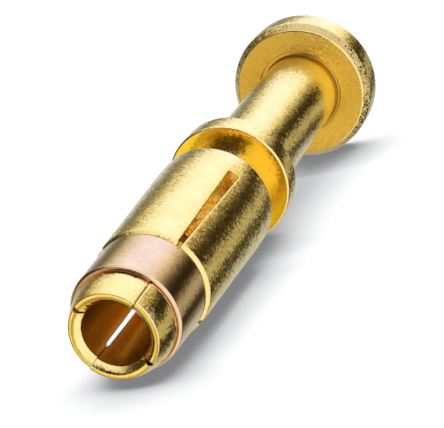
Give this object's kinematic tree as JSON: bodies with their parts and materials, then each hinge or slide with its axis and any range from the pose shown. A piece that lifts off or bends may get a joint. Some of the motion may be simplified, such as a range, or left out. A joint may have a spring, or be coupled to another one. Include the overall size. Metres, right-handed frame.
{
  "type": "crimp socket contact",
  "caption": "Turned gold-plated crimp socket contact with slotted, pinched tines under a split copper ring, a retention groove, a crimp neck and a rear flange with a wire bore.",
  "frame": {"origin": "centre of the flange's rear face, on which the contact stands", "axes": "+Z along the contact's axis towards the mouth, with the slots on the X and Y axes"},
  "size_m": [0.0052, 0.0052, 0.0206],
  "materials": {
    "gold_plating": "satin gold plating on turned copper alloy",
    "ring_copper": "satin bare copper alloy"
  },
  "bodies": {
    "root": {"contact_body": "gold_plating", "spring_ring": "ring_copper"}
  },
  "joints": []
}
